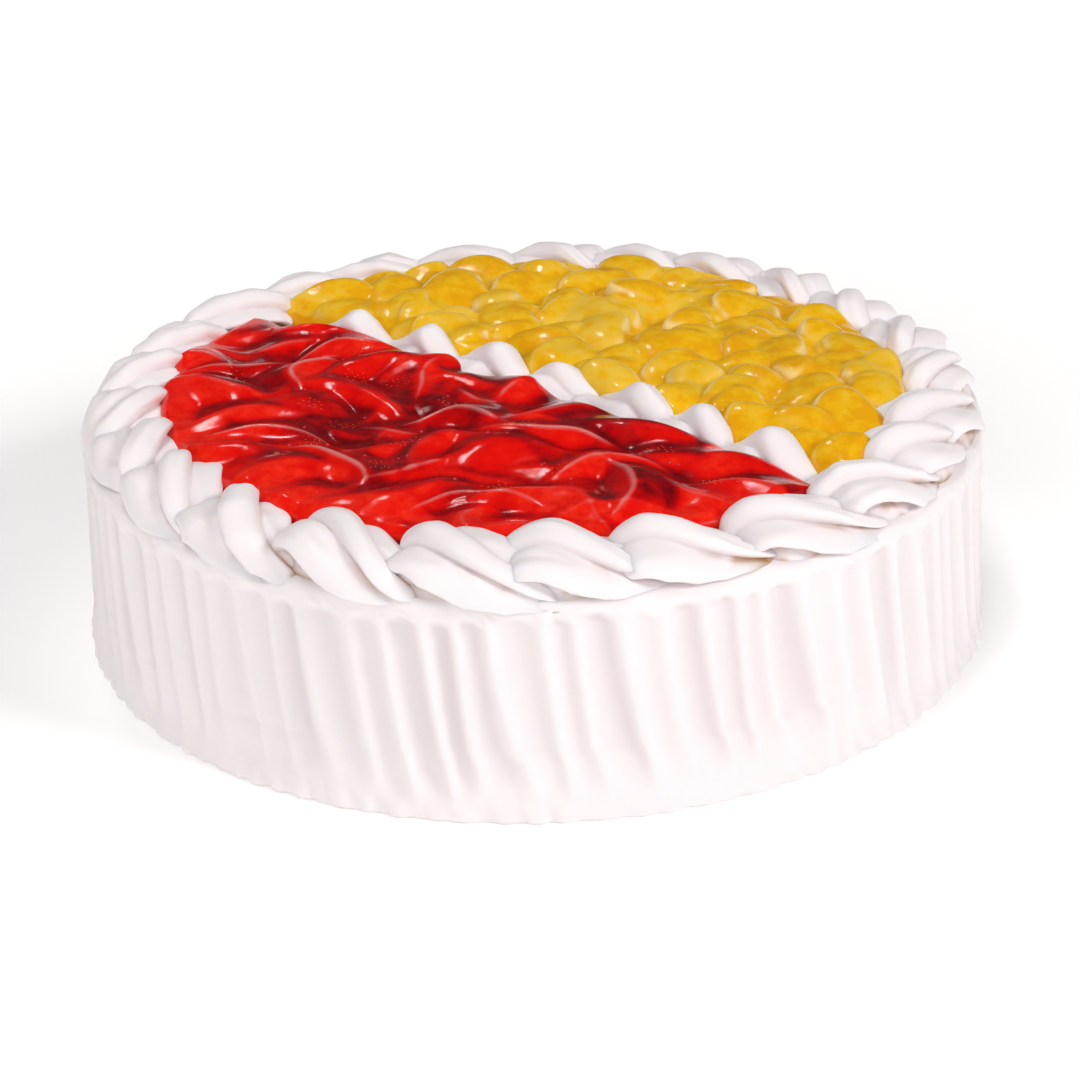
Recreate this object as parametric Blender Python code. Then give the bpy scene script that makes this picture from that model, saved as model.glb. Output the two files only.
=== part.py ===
"""Tres leches cake, uncut.

A round cake frosted with whipped cream. Its side is combed into slanting flutes, a border of
piped shells runs round the rim, and a row of peaked shells crosses the top. Strawberry
topping fills the front-left half and yellow peach topping the back-right half.

Origin: the middle of the flat underside. +Z is up and -Y is the front.
"""
import math
import random

import bmesh
import bpy
from mathutils import Vector

# Driving dimensions, in metres
MM = 0.001
FOOT_RADIUS = 125.0 * MM
WALL_HEIGHT = 57.0 * MM
WALL_TAPER = 3.5 * MM
SHOULDER_ROUND = 2.5 * MM
GAP = 0.3 * MM

# Comb marks on the side
FLUTE_COUNT = 80
FLUTE_DEPTH = 1.4 * MM
FLUTE_START = 9.0 * MM
FLUTE_END = 43.0 * MM
FLUTE_FADE = 5.0 * MM
FLUTE_SLANT = math.radians(8.0)
FLUTE_DEPTH_SPREAD = 0.45

# Piped shells: stations from the head to the tail of a shell, each a fan rib that stands on
# the cream: (foot, lean in degrees, reach, half-width), the lengths in millimetres
SHELL_RIBS = (
    (0.5, 180.0, 7.5, 9.0),
    (2.0, 140.0, 11.6, 12.4),
    (5.0, 108.0, 13.2, 13.5),
    (9.5, 84.0, 12.7, 12.9),
    (15.0, 62.0, 11.0, 11.0),
    (21.0, 42.0, 8.4, 8.4),
    (27.0, 22.0, 5.8, 5.6),
    (32.0, 0.0, 3.0, 3.0),
)
SHELL_PIVOT = 6.0 * MM
SHELL_LOBES = 4
SHELL_GROOVE = 0.17
SHELL_SPREAD = 0.06

# Shell border round the rim
RIM_SHELLS = 25
RIM_RADIUS = 107.0 * MM
RIM_FIRST_HEAD = math.radians(-91.0)
RIM_BACK_SCALE = 0.88
RIM_SLANT = math.radians(-12.0)

# Shell row across the top: an arc from its first head to its last tail
ROW_SHELLS = 7
ROW_START = Vector((62.0 * MM, -58.0 * MM))
ROW_END = Vector((-69.0 * MM, 56.0 * MM))
ROW_BULGE = 7.0 * MM
ROW_SCALE = 1.0
ROW_CROWN = 0.4
CROWN_PLACE = 0.33
CROWN_WIDTH = 0.18
ROW_SLANT = 0.0
ROW_TAIL_ROOM = 29.5 * MM

# Toppings
TOPPING_RADIUS = 92.5 * MM
ROW_CLEARANCE = 13.4 * MM
BED_INSET = 1.8 * MM
BED_HEIGHT = 5.0 * MM
OUTLINE_STEP = math.radians(6.0)
ROW_OUTLINE_STEPS = 12
STRAWBERRY_SIZE = (9.5 * MM, 8.5 * MM, 5.0 * MM)
STRAWBERRY_SPACING = 14.5 * MM
PEACH_SIZE = (11.5 * MM, 8.0 * MM, 4.8 * MM)
PEACH_SPACING = 15.0 * MM
PIECE_SPREAD = 0.16
PIECE_STRAY = 2.0 * MM
SEED = 11

TOP_PLANE = WALL_HEIGHT + GAP
CREASE_ANGLE = math.radians(35.0)


def clear_scene():
    """Remove every object of the open file."""
    for old in list(bpy.data.objects):
        bpy.data.objects.remove(old, do_unlink=True)


def make_material(name, colour, roughness):
    """A Principled material with a linear colour."""
    material = bpy.data.materials.new(name)
    material.use_nodes = True
    shader = material.node_tree.nodes["Principled BSDF"]
    shader.inputs["Base Color"].default_value = (*colour, 1.0)
    shader.inputs["Roughness"].default_value = roughness
    shader.inputs["Metallic"].default_value = 0.0
    material.diffuse_color = (*colour, 1.0)
    return material


def add_object(name, mesh, material):
    """Add a mesh to the scene, shaded smooth between its creases."""
    mesh.name = name
    mesh.materials.clear()
    mesh.materials.append(material)
    mesh.shade_smooth()
    mesh.set_sharp_from_angle(angle=CREASE_ANGLE)
    added = bpy.data.objects.new(name, mesh)
    bpy.context.scene.collection.objects.link(added)
    return added


def make_object(name, shape, material):
    """Write a bmesh to a new object, its faces pointing out."""
    bmesh.ops.recalc_face_normals(shape, faces=shape.faces)
    mesh = bpy.data.meshes.new(name)
    shape.to_mesh(mesh)
    shape.free()
    return add_object(name, mesh, material)


def fuse(name, parts, material):
    """Join overlapping closed parts into one body by a Boolean union on a collection."""
    base = parts[0]
    others = bpy.data.collections.new(name + "_pieces")
    bpy.context.scene.collection.children.link(others)
    for part in parts[1:]:
        others.objects.link(part)
        bpy.context.scene.collection.objects.unlink(part)
    union = base.modifiers.new("Union", "BOOLEAN")
    union.operation = "UNION"
    union.operand_type = "COLLECTION"
    union.collection = others
    union.solver = "EXACT"
    evaluated = base.evaluated_get(bpy.context.evaluated_depsgraph_get())
    joined = bpy.data.meshes.new_from_object(evaluated)
    for part in parts:
        bpy.data.objects.remove(part, do_unlink=True)
    bpy.data.collections.remove(others)
    return add_object(name, joined, material)


def wall_radius(height):
    """Radius of the tapering side before its flutes."""
    return FOOT_RADIUS - WALL_TAPER * height / WALL_HEIGHT


def flute_strength(height):
    """1 where the comb bites fully, fading to 0 above the foot and below the shoulder."""
    rise = (height - FLUTE_START + FLUTE_FADE) / FLUTE_FADE
    fall = (FLUTE_END + FLUTE_FADE - height) / FLUTE_FADE
    return max(0.0, min(1.0, rise, fall))


def wall_ring(shape, height, inset, depths):
    """One ring of the side: a crest and a groove for each flute, slanting with height."""
    slant = math.tan(FLUTE_SLANT) * (WALL_HEIGHT - height) / FOOT_RADIUS
    strength = flute_strength(height)
    ring = []
    for column in range(2 * FLUTE_COUNT):
        angle = math.pi * column / FLUTE_COUNT + slant
        groove = depths[column // 2] * strength if column % 2 else 0.0
        radius = wall_radius(height) - inset - groove
        ring.append(shape.verts.new((radius * math.cos(angle), radius * math.sin(angle), height)))
    return ring


def bridge(shape, lower, upper):
    """Quads between two rings with the same number of points."""
    count = len(lower)
    for index in range(count):
        after = (index + 1) % count
        shape.faces.new((lower[index], lower[after], upper[after], upper[index]))


def build_body(cream):
    """The frosted drum: flat underside and top, combed side and rounded shoulder."""
    draw = random.Random(SEED)
    low = 1.0 - FLUTE_DEPTH_SPREAD
    depths = [FLUTE_DEPTH * draw.uniform(low, 1.0) for _ in range(FLUTE_COUNT)]
    shape = bmesh.new()
    levels = (
        (0.0, 0.0),
        (FLUTE_START - FLUTE_FADE, 0.0),
        (FLUTE_START, 0.0),
        (FLUTE_END, 0.0),
        (FLUTE_END + FLUTE_FADE, 0.0),
        (WALL_HEIGHT - SHOULDER_ROUND, 0.0),
        (WALL_HEIGHT, SHOULDER_ROUND),
    )
    rings = [wall_ring(shape, height, inset, depths) for height, inset in levels]
    for lower, upper in zip(rings, rings[1:]):
        bridge(shape, lower, upper)
    shape.faces.new(rings[0])
    shape.faces.new(rings[-1])
    return make_object("cake_body", shape, cream)


def lobe_height(across):
    """Radius factor of the star-shaped section: rounded lobes, one of them along the crest."""
    within = (across * SHELL_LOBES + 0.5) % 1.0
    crease = (2.0 * abs(within - 0.5)) ** 2
    return 1.0 - SHELL_GROOVE * crease


def build_shell(size, tall, slant, crown, where, cream):
    """One piped shell, closed by its flat foot.

    size scales the shell, tall scales its height alone, slant turns it about its head so that
    its tail swings aside, crown is the share by which head and tail are lower than the peak,
    and where(along, aside, up) puts a point that is given along, beside and above the piped
    line into the cake's frame.
    """
    steps = 2 * SHELL_LOBES
    shape = bmesh.new()
    grid = []
    for number, (foot, lean, reach, half) in enumerate(SHELL_RIBS):
        past_peak = (number / (len(SHELL_RIBS) - 1) - CROWN_PLACE) / CROWN_WIDTH
        peaked = 1.0 - crown * (1.0 - math.exp(-past_peak ** 2))
        rib = []
        for step in range(steps + 1):
            angle = math.pi * step / steps
            factor = lobe_height(step / steps)
            out = reach * MM * math.sin(angle) * factor
            along = size * (foot * MM + out * math.cos(math.radians(lean)))
            up = size * tall * peaked * out * math.sin(math.radians(lean))
            aside = size * half * MM * math.cos(angle) * factor
            past = along - SHELL_PIVOT
            ahead = SHELL_PIVOT + past * math.cos(slant) - aside * math.sin(slant)
            beside = past * math.sin(slant) + aside * math.cos(slant)
            rib.append(shape.verts.new(where(ahead, beside, max(up, 0.0))))
        grid.append(rib)
    for rib, following in zip(grid, grid[1:]):
        for step in range(steps):
            shape.faces.new((rib[step], rib[step + 1], following[step + 1], following[step]))
    right_edge = [rib[0] for rib in grid[1:-1]]
    left_edge = [rib[-1] for rib in grid[1:-1]]
    shape.faces.new(grid[0][::-1] + right_edge + grid[-1] + left_edge[::-1])
    return make_object("shell", shape, cream)


def on_rim(head_angle):
    """Placing function for a shell whose head stands at an angle of the rim's circle."""
    def where(along, aside, up):
        angle = head_angle + along / RIM_RADIUS
        radius = RIM_RADIUS - aside
        return Vector((radius * math.cos(angle), radius * math.sin(angle), TOP_PLANE + up))
    return where


def row_point(share):
    """Point and direction on the arc of the shell row, at a share of its length."""
    chord = ROW_END - ROW_START
    side = Vector((chord.y, -chord.x)).normalized()
    point = ROW_START + chord * share + side * (4.0 * ROW_BULGE * share * (1.0 - share))
    heading = chord + side * (4.0 * ROW_BULGE * (1.0 - 2.0 * share))
    return point, heading.normalized()


def on_row(head_share):
    """Placing function for a shell whose head stands at a share of the row."""
    length = (ROW_END - ROW_START).length

    def where(along, aside, up):
        point, heading = row_point(head_share + along / length)
        place = point + Vector((-heading.y, heading.x)) * aside
        return Vector((place.x, place.y, TOP_PLANE + up))
    return where


def build_rim(cream):
    """The border: shells piped anticlockwise, each head over the tail of the one before.

    Each tail swings out to the rim, as on a rope border.
    """
    draw = random.Random(SEED + 1)
    shells = []
    for index in range(RIM_SHELLS):
        head = RIM_FIRST_HEAD + math.tau * index / RIM_SHELLS
        towards_back = 0.5 + 0.5 * math.sin(head)
        size = draw.uniform(1.0 - SHELL_SPREAD, 1.0)
        tall = draw.uniform(1.0 - SHELL_SPREAD, 1.0) * (1.0 - (1.0 - RIM_BACK_SCALE) * towards_back)
        shells.append(build_shell(size, tall, RIM_SLANT, 0.0, on_rim(head), cream))
    return fuse("rim_shells", shells, cream)


def build_row(cream):
    """The row across the top, piped from the front right to the back left."""
    draw = random.Random(SEED + 2)
    length = (ROW_END - ROW_START).length
    last_head = 1.0 - ROW_TAIL_ROOM / length
    shells = []
    for index in range(ROW_SHELLS):
        share = last_head * index / (ROW_SHELLS - 1)
        size = ROW_SCALE * draw.uniform(1.0 - SHELL_SPREAD, 1.0)
        shells.append(build_shell(size, 1.0, ROW_SLANT, ROW_CROWN, on_row(share), cream))
    return fuse("divider_shells", shells, cream)


def row_distance(place):
    """Distance to the shell row's arc, positive on its front-left side."""
    chord = ROW_END - ROW_START
    side = Vector((chord.y, -chord.x)).normalized()
    offset = place - ROW_START
    share = offset.dot(chord) / chord.length_squared
    bulge = 4.0 * ROW_BULGE * share * (1.0 - share)
    return bulge - offset.dot(side)


def edge_room(place, half):
    """Free distance from a place to the cream round one half of the top."""
    return min(TOPPING_RADIUS - place.length, half * row_distance(place) - ROW_CLEARANCE)


def half_outline(half):
    """Outline of one topping's bed: an arc inside the rim, closed along the shell row."""
    radius = TOPPING_RADIUS - BED_INSET
    clearance = ROW_CLEARANCE + BED_INSET
    arc = []
    for step in range(round(math.tau / OUTLINE_STEP)):
        place = Vector((math.cos(OUTLINE_STEP * step), math.sin(OUTLINE_STEP * step))) * radius
        if half * row_distance(place) > clearance:
            arc.append(place)
    seam = max(range(len(arc)), key=lambda index: (arc[index] - arc[index - 1]).length)
    arc = arc[seam:] + arc[:seam]
    along_row = []
    for step in range(ROW_OUTLINE_STEPS + 1):
        point, heading = row_point(step / ROW_OUTLINE_STEPS)
        place = point + Vector((-heading.y, heading.x)) * (half * clearance)
        if place.length < radius - BED_INSET:
            along_row.append(place)
    if (along_row[0] - arc[-1]).length > (along_row[-1] - arc[-1]).length:
        along_row.reverse()
    return arc + along_row


def build_bed(half, material):
    """The level bed of a topping, a slab inside its outline."""
    shape = bmesh.new()
    outline = half_outline(half)
    low = [shape.verts.new((place.x, place.y, TOP_PLANE)) for place in outline]
    high = [shape.verts.new((place.x, place.y, TOP_PLANE + BED_HEIGHT)) for place in outline]
    bridge(shape, low, high)
    shape.faces.new(low)
    shape.faces.new(high)
    return make_object("bed", shape, material)


def scatter(half, reach, spacing, draw):
    """Places for the pieces of a topping: staggered rows that stray a little, clear of the cream."""
    places = []
    row_spacing = spacing * math.sqrt(0.75)
    rows = math.ceil(TOPPING_RADIUS / row_spacing)
    columns = math.ceil(TOPPING_RADIUS / spacing)
    for row in range(-rows, rows + 1):
        for column in range(-columns, columns + 1):
            x = spacing * (column + 0.5 * (row % 2)) + draw.uniform(-PIECE_STRAY, PIECE_STRAY)
            y = row_spacing * row + draw.uniform(-PIECE_STRAY, PIECE_STRAY)
            if edge_room(Vector((x, y)), half) > reach:
                places.append(Vector((x, y)))
    return places


def build_piece(place, size, room, draw, material):
    """One piece of fruit: a few-sided rounded lump, turned at random and standing in the bed."""
    shape = bmesh.new()
    bmesh.ops.create_icosphere(shape, subdivisions=1, radius=1.0)
    turn = draw.uniform(0.0, math.tau)
    grown = [measure * (1.0 + draw.uniform(-PIECE_SPREAD, 0.0)) for measure in size]
    grown[0] = min(grown[0], room)
    middle = TOP_PLANE + GAP + grown[2]
    for vertex in shape.verts:
        across = Vector((vertex.co.x * grown[0], vertex.co.y * grown[1]))
        x = across.x * math.cos(turn) - across.y * math.sin(turn)
        y = across.x * math.sin(turn) + across.y * math.cos(turn)
        vertex.co = Vector((place.x + x, place.y + y, middle + vertex.co.z * grown[2]))
    return make_object("piece", shape, material)


def build_topping(name, half, size, spacing, seed, material):
    """A topping: its bed with the pieces of fruit that show fused on."""
    draw = random.Random(seed)
    parts = [build_bed(half, material)]
    for place in scatter(half, size[1], spacing, draw):
        parts.append(build_piece(place, size, edge_room(place, half), draw, material))
    return fuse(name, parts, material)


def main():
    clear_scene()
    cream = make_material("whipped_cream", (0.89, 0.85, 0.83), 0.5)
    strawberry = make_material("strawberry_gel", (0.45, 0.01, 0.01), 0.15)
    peach = make_material("peach_gel", (0.75, 0.42, 0.05), 0.15)
    build_body(cream)
    build_rim(cream)
    build_row(cream)
    build_topping("strawberry_topping", 1.0, STRAWBERRY_SIZE, STRAWBERRY_SPACING, SEED + 3, strawberry)
    build_topping("peach_topping", -1.0, PEACH_SIZE, PEACH_SPACING, SEED + 4, peach)


main()
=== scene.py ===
import math
import random
from dataclasses import dataclass

import bmesh
import bpy
import numpy as np
from bpy.props import FloatProperty, FloatVectorProperty, IntProperty, PointerProperty
from mathutils import Matrix, Vector


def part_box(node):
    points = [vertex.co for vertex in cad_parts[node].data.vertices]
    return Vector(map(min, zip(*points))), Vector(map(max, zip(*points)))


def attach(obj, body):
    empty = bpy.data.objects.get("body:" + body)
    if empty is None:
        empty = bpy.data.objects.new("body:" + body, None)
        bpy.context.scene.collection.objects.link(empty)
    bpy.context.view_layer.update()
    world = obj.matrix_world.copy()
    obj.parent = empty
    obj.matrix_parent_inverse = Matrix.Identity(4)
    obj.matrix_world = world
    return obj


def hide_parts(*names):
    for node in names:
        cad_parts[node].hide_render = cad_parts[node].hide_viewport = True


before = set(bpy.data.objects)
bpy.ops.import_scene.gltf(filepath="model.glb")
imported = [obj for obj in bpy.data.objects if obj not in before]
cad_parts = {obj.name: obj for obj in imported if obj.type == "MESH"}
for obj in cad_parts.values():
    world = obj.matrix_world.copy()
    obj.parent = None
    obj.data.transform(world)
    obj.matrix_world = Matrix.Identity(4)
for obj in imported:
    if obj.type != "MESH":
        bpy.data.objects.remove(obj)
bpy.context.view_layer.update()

bl_info = {
    "name": "Tres leches cake",
    "version": (1, 0, 0),
    "blender": (4, 5, 0),
    "location": "3D View > Sidebar > Cake",
    "description": "Frosting, piped cream and fruit toppings of a round tres leches cake",
    "category": "Add Mesh",
}

# Sizes and places are in metres, worked out from the nodes of the frame
MM = 0.001
BODY_LOW, BODY_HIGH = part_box("cake_body")
FOOT_RADIUS = (BODY_HIGH.x - BODY_LOW.x) / 2.0
WALL_HEIGHT = BODY_HIGH.z - BODY_LOW.z
TOP_PLANE = BODY_HIGH.z
SEED = 11

# Frosted side: the room it leaves for what stands proud, its taper and its two rounded edges
WALL_ROOM = 1.0 * MM
WALL_TAPER = 2.8 * MM
SHOULDER_ROUND = 2.6 * MM
FOOT_ROUND_HEIGHT = 0.8 * MM
FOOT_ROUND_DEPTH = 0.7 * MM

# Comb marks: their slant, the side where they are deepest, the heights in millimetres where they
# end, how softly they end, how round the ridges between them are, and where a second pass begins
COMB_SLANT = math.radians(9.0)
COMB_DEEP_SIDE = -1.45
COMB_TOP_END = 54.6
COMB_FOOT_END = 1.2
COMB_TOP_FADE = 3.5 * MM
COMB_FOOT_FADE = 9.0 * MM
COMB_RIDGE = 0.09
SECOND_PASS = (15.0 * MM, 19.0 * MM)

# Unevenness of the side: how far each kind stands in or out, how far apart smears lie, and the
# heights where some kinds show
SMEAR_DEPTH = 0.15 * MM
SMEAR_SPACING = 9.0 * MM
DRAG_DEPTH = 0.12 * MM
LEDGE_DEPTH = 0.22 * MM
LEDGE_HEIGHTS = (14.0 * MM, 17.0 * MM, 17.0 * MM, 18.2 * MM)
TORN_DEPTH = 0.4 * MM
TORN_HEIGHTS = (50.0 * MM, 52.0 * MM, 53.0 * MM, 55.0 * MM)
FLARE_DEPTH = 1.0 * MM
FLARE_HEIGHTS = (6.5 * MM, 0.8 * MM)

# Piped shells, as ribs of a fan that stands on the cream: foot, lean in degrees, reach and
# half-width, the lengths in millimetres
SHELL_RIBS = (
    (0.5, 180.0, 7.5, 9.0),
    (2.0, 140.0, 11.8, 12.6),
    (5.0, 108.0, 13.4, 13.9),
    (9.5, 84.0, 12.9, 13.2),
    (15.0, 62.0, 11.2, 11.2),
    (21.0, 42.0, 8.6, 8.6),
    (27.0, 22.0, 6.0, 5.8),
    (32.0, 0.0, 3.0, 3.0),
)

# Each shell besides: the point it turns about in millimetres, its cells, how far its flanks wrap
# under, the share of it that never folds, its swell, the depth of its strands and of its foot
SHELL_PIVOT = 6.0
SHELL_CELLS = (76, 44)
SHELL_FLANK = math.radians(20.0)
SHELL_BASE = 0.22
SHELL_SWELL = 0.08
SHELL_STRAND_DEPTH = 0.05
SHELL_SINK = 0.2 * MM

# Tan tint on the shells, painted shade and seeped milk in one, from none to full: the heights
# above the cream in the creases and all along the foot, and the radii, as none shows at the rim
CREASE_SHADE_STAIN_HEIGHTS = (7.0 * MM, 1.0 * MM)
FOOT_SHADE_STAIN_HEIGHTS = (1.5 * MM, 0.3 * MM)
FOOT_SHADE_STAIN_RADII = (120.5 * MM, 119.0 * MM)

# Where the shells stand: the border's circle and how it hangs over the rim, and the row's arc
RIM_RADIUS = 107.0 * MM
RIM_OUTER_STRETCH = 1.14
RIM_FIRST_HEAD = math.radians(-91.0)
RIM_OVERHANG_START = 117.0 * MM
RIM_OVERHANG_DROOP = 0.13 / MM
RIM_BACK_SCALE = 0.88
ROW_START = Vector((62.0 * MM, -58.0 * MM))
ROW_END = Vector((-69.0 * MM, 56.0 * MM))
ROW_BULGE = 7.0 * MM
ROW_TAIL_ROOM = 28.0 * MM

# Fruit toppings, in millimetres: how far each heap reaches under the cream round it, the cells
# of the sheet that it is shaped from, the rounding of its edge, the skirt that closes it below and
# how deep that stands in the cream, and the level of the gel between the fruit
HEAP_RADIUS = 101.0
HEAP_ROW_ROOM = 3.0
HEAP_CELL = 0.5
HEAP_RIM_EDGE = 4.0
HEAP_ROW_EDGE = 9.0
HEAP_EDGE_DROP = 4.5
HEAP_SKIRT = 1.0
HEAP_SINK = 0.3
GEL_LEVEL = 61.2

# Red topping, in millimetres: how far the gel rises at the rim and sags between crests, its
# pieces' spacing with stray and tops, and the spacing, smallest and largest half-width of the
# patches that glow and of the dark pools
RED_EDGE_RISE = 1.8
RED_SAG = 4.2
RED_PIECES = (17.0, 5.0)
RED_TOPS = (62.8, 68.0)
RED_GLOWS = (13.0, 5.0, 9.5)
RED_POOLS = (24.0, 6.0, 12.0)

# Yellow topping, in millimetres: the spacing, scale and level of each layer of slices, and the
# greatest height
YELLOW_LAYERS = ((17.0, 1.0, 60.0), (20.0, 0.95, 61.4), (23.0, 0.7, 62.0))
YELLOW_TOP = 68.4

# Seeds and bubbles, in millimetres: the room they leave at the edge, the seeds' steps and the
# half-axes of a cluster of them, and how far bubbles stray
SEED_ROOM = 10.0
SEED_STEP = (1.8, 1.6)
SEED_CLUSTER = (5.4, 3.4)
BUBBLE_REACH = 9.0

# The photograph's camera: distance, height angle, roll, and the point that it looks at
CAMERA_DISTANCE = 640.0 * MM
CAMERA_ELEVATION = math.radians(26.72)
CAMERA_ROLL = math.radians(1.39)
CAMERA_TARGET = Vector((1.1 * MM, 0.0, 14.6 * MM))
CAMERA_LENS = 75.0

# The studio's light dome: where it is brightest, and its strength behind and there
DOME_DIRECTION = (0.1, -0.8, 0.6)
DOME_LOW = 0.07
DOME_HIGH = 0.12

# The studio's lights: name, place, size, power, and whether gloss mirrors them. The broad ones
# light the cream softly, and the small ones give the gel its small highlights
LIGHTS = (
    ("key_softbox", (2.1, -1.1, 1.5), 0.7, 31.0, False),
    ("top_softbox", (-0.3, 0.1, 2.2), 0.6, 12.5, False),
    ("fill_softbox", (-0.9, -2.2, 1.3), 1.8, 29.0, False),
    ("right_lamp", (1.5, -0.9, 1.5), 0.16, 3.2, True),
    ("front_lamp", (-0.5, -0.4, 2.1), 0.16, 3.2, True),
    ("back_lamp", (-0.4, 1.2, 1.8), 0.2, 3.3, True),
)

# The floor's width, and how far it lies under the cake
FLOOR_SIZE = 6.0
FLOOR_DROP = 0.05 * MM


def linear(code):
    """An sRGB hex colour as linear red, green and blue."""
    channels = [int(code[start:start + 2], 16) / 255.0 for start in (0, 2, 4)]
    return tuple(c / 12.92 if c <= 0.04045 else ((c + 0.055) / 1.055) ** 2.4 for c in channels)


def add_node(tree, kind, settings=None, inputs=None):
    """Add a node; inputs are values, or (node, socket) pairs to link from."""
    node = tree.nodes.new(kind)
    for key, value in (settings or {}).items():
        setattr(node, key, value)
    for key, value in (inputs or {}).items():
        if isinstance(value, tuple) and isinstance(value[0], bpy.types.Node):
            tree.links.new(value[0].outputs[value[1]], node.inputs[key])
        else:
            node.inputs[key].default_value = value
    return node


def new_material(name):
    """An empty material with its shader and output, ready for a pattern."""
    material = bpy.data.materials.new(name)
    material.use_nodes = True
    tree = material.node_tree
    return material, tree, tree.nodes["Principled BSDF"]


def set_inputs(shader, values):
    """Set the shader's numbers that are the same all over the surface."""
    for key, value in values.items():
        shader.inputs[key].default_value = value


def whipped_cream(name, streaks):
    """Whipped cream, spread or piped: soft satin white with light scattered inside.

    To the eye it is a warm white whose shadows stay bright, with a faint grain of air bubbles;
    spread cream also shows the comb's fine drag lines. Hollows get a grey painted shade, and the
    low creases and the feet of piped shells a tan tint, painted shade and seeped milk in one.
    """
    colours = bpy.context.scene.cake_colours
    material, tree, shader = new_material(name)
    place = add_node(tree, "ShaderNodeTexCoord")
    bubbles = add_node(tree, "ShaderNodeTexNoise", None, {
        "Vector": (place, "Object"), "Scale": 1.0 / (1.1 * MM), "Detail": 3.0, "Roughness": 0.6,
    })
    stretched = add_node(tree, "ShaderNodeMapping", None, {
        "Vector": (place, "Object"), "Scale": (1.0, 1.0, 0.06),
    })
    drag = add_node(tree, "ShaderNodeTexNoise", None, {
        "Vector": (stretched, "Vector"), "Scale": 1.0 / (1.6 * MM), "Detail": 2.0,
    })
    relief = add_node(tree, "ShaderNodeMix", {"data_type": "FLOAT"}, {
        "Factor": streaks, "A": (bubbles, "Fac"), "B": (drag, "Fac"),
    })
    bump = add_node(tree, "ShaderNodeBump", None, {
        "Strength": 0.25, "Distance": 0.12 * MM, "Height": (relief, "Result"),
    })
    tree.links.new(bump.outputs["Normal"], shader.inputs["Normal"])
    # Painted shade: hollows are mixed towards a pinkish grey.
    hollows = add_node(tree, "ShaderNodeAttribute", {"attribute_name": "hollow"})
    spread = add_node(tree, "ShaderNodeMix", {"data_type": "RGBA"}, {
        "Factor": (hollows, "Fac"), "A": (*colours.cream, 1.0), "B": (*linear("DDCFD2"), 1.0),
    })
    # Tan tint, painted shade and seeped milk in one, low in the shells' creases and along their foot.
    marks = add_node(tree, "ShaderNodeAttribute", {"attribute_name": "crease"})
    blotches = add_node(tree, "ShaderNodeTexNoise", None, {
        "Vector": (place, "Object"), "Scale": 1.0 / (9.0 * MM), "Detail": 2.0,
    })
    seeped = add_node(tree, "ShaderNodeMapRange", None, {
        "Value": (blotches, "Fac"), "From Min": 0.41, "From Max": 0.57,
    })
    shade_and_stain = add_node(tree, "ShaderNodeMath", {"operation": "MULTIPLY", "use_clamp": True}, {
        0: (marks, "Fac"), 1: (seeped, "Result"),
    })
    shade = add_node(tree, "ShaderNodeMix", {"data_type": "RGBA"}, {
        "Factor": (shade_and_stain, "Value"), "A": (spread, "Result"), "B": (*linear("B98A5C"), 1.0),
    })
    tree.links.new(shade.outputs["Result"], shader.inputs["Base Color"])
    set_inputs(shader, {
        "Roughness": 0.42, "IOR": 1.4, "Subsurface Weight": 0.35,
        "Subsurface Scale": 2.5 * MM, "Subsurface Radius": (1.0, 0.75, 0.6),
    })
    return material


def fruit_in_gel(name, channel, mottling, grain, roughness, contrast, relief, stops):
    """What both toppings share: mottled flesh that shows its colour under a waved wet surface.

    channel is the mark that picks the flesh's colour from the stops, and mottling is the share
    that a noise with that grain takes in it. relief is the strength and height of the waves.
    Returns the marks and the coloured flesh too, for a material to finish.
    """
    material, tree, shader = new_material(name)
    marks = add_node(tree, "ShaderNodeVertexColor", {"layer_name": "gel"})
    parts = add_node(tree, "ShaderNodeSeparateColor", None, {"Color": (marks, "Color")})
    place = add_node(tree, "ShaderNodeTexCoord")
    noise = add_node(tree, "ShaderNodeTexNoise", None, {
        "Vector": (place, "Object"), "Scale": 1.0 / grain, "Detail": 4.0, "Roughness": roughness,
    })
    mottled = add_node(tree, "ShaderNodeMapRange", None, {
        "Value": (noise, "Fac"), "From Min": 0.5 - contrast, "From Max": 0.5 + contrast,
    })
    shade = add_node(tree, "ShaderNodeMix", {"data_type": "FLOAT"}, {
        "Factor": mottling, "A": (parts, channel), "B": (mottled, "Result"),
    })
    flesh = add_node(tree, "ShaderNodeValToRGB", None, {"Fac": (shade, "Result")})
    elements = flesh.color_ramp.elements
    for element, (position, colour) in zip(elements, (stops[0], stops[-1])):
        element.position = position
        element.color = (*colour, 1.0)
    for position, colour in stops[1:-1]:
        elements.new(position).color = (*colour, 1.0)
    waves = add_node(tree, "ShaderNodeBump", None, {
        "Strength": relief[0], "Distance": relief[1], "Height": (noise, "Fac"),
    })
    for socket in ("Normal", "Coat Normal"):
        tree.links.new(waves.outputs["Normal"], shader.inputs[socket])
    return material, tree, shader, parts, flesh


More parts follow.
